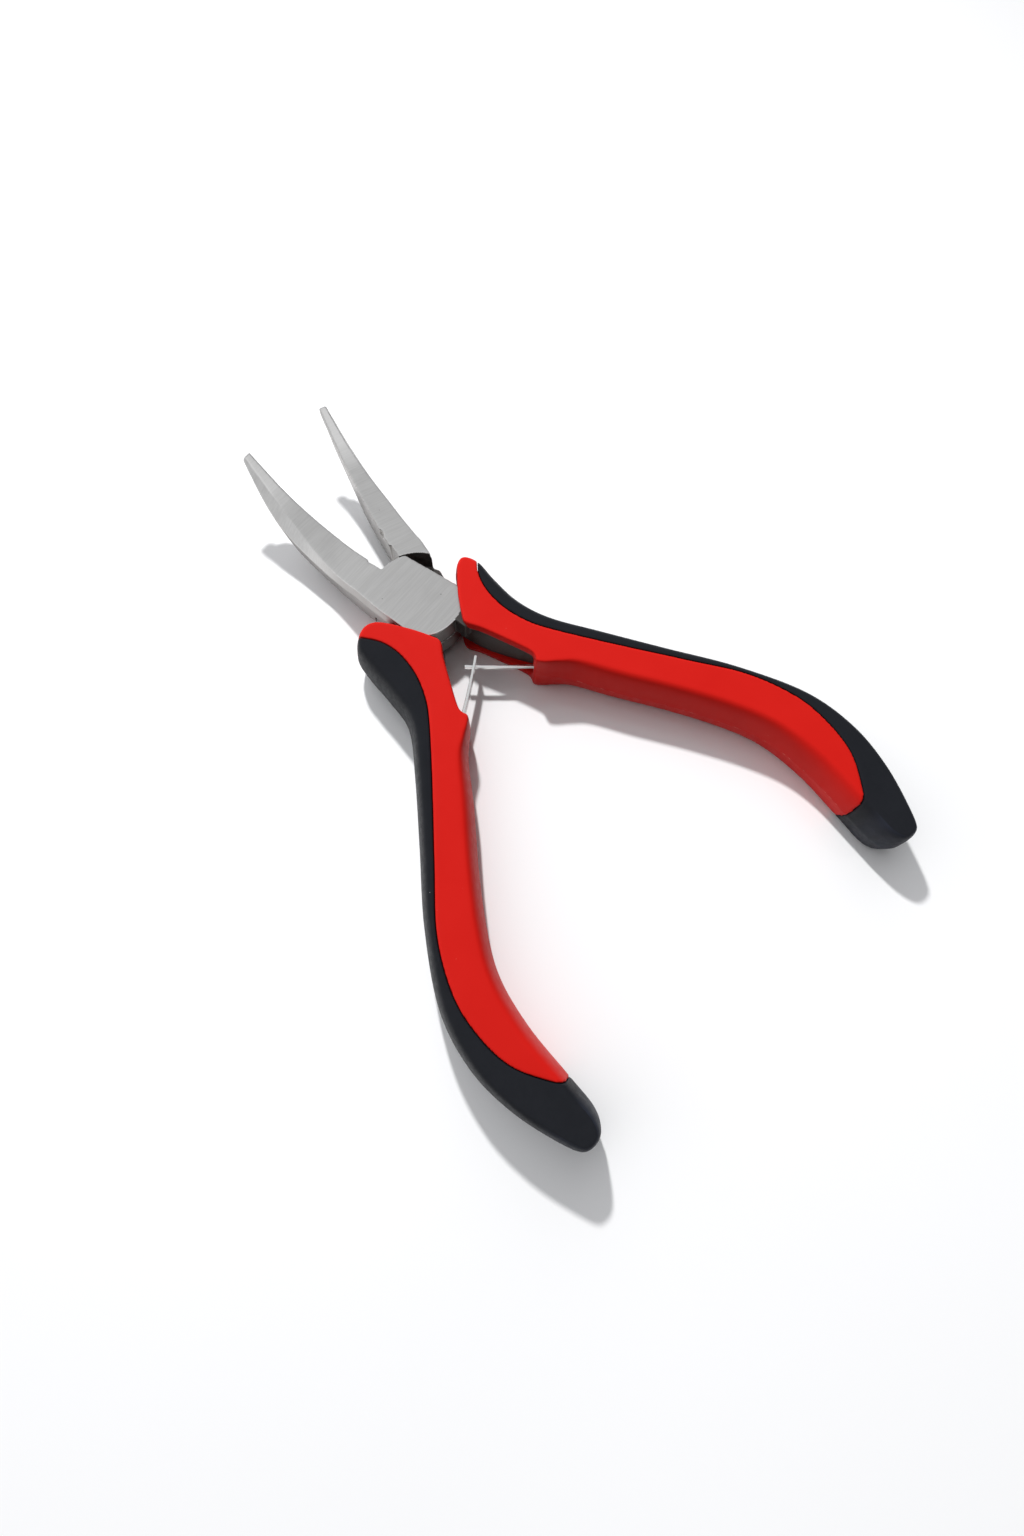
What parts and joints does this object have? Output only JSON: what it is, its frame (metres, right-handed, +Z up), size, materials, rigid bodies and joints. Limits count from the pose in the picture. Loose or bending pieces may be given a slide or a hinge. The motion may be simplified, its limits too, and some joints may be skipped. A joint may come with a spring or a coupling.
{
  "type": "bent-nose pliers",
  "caption": "Small bent-nose gripping pliers with a lap joint, slim upturned jaws, two-tone moulded comfort grips and crossing leaf return springs.",
  "frame": {"origin": "in the rest plane that the grips lie on, on the centre line, midway between the tips of the jaws and the ends of the grips", "axes": "+Z up along the pivot axis, +Y towards the jaws midway between them, +X towards the right grip; the pivot axis is at y = 24.1 mm"},
  "size_m": [0.0838, 0.1209, 0.016],
  "materials": {
    "satin_steel": "ground satin forged steel, darker in the joint",
    "rivet_steel": "plain steel",
    "red_plastic": "semi-matte red moulded plastic",
    "black_rubber": "matte soft black elastomer",
    "spring_steel": "bright spring strip"
  },
  "bodies": {
    "left_handle": {"lower_lever": "satin_steel", "left_grip_sleeve": "red_plastic", "left_grip_overmould": "black_rubber", "left_spring_pin": "rivet_steel"},
    "right_handle": {"upper_lever": "satin_steel", "pivot_rivet": "rivet_steel", "right_grip_sleeve": "red_plastic", "right_grip_overmould": "black_rubber", "right_spring_pin": "rivet_steel"},
    "left_spring": {"left_leaf_spring": "spring_steel"},
    "right_spring": {"right_leaf_spring": "spring_steel"}
  },
  "joints": [
    {"name": "squeeze", "type": "hinge", "parent": "left_handle", "child": "right_handle", "pos_m": [0, 0.02411, 0], "axis": [0, 0, 1], "range_deg": [-22.5, 0], "stiffness_Nm_per_rad": 0.12, "springref_deg": 6.88},
    {"name": "left_spring_bend", "type": "hinge", "parent": "left_handle", "child": "left_spring", "pos_m": [-0.00878, 0.00199, 0], "axis": [0, 0, 1], "range_deg": [0, 18]},
    {"name": "right_spring_bend", "type": "hinge", "parent": "right_handle", "child": "right_spring", "pos_m": [0.00878, 0.00199, 0], "axis": [0, 0, 1], "range_deg": [-18, 0]}
  ],
  "couplings": [
    {"joint": "left_spring_bend", "follows": "squeeze", "ratio": -0.8},
    {"joint": "right_spring_bend", "follows": "squeeze", "ratio": 0.8}
  ]
}
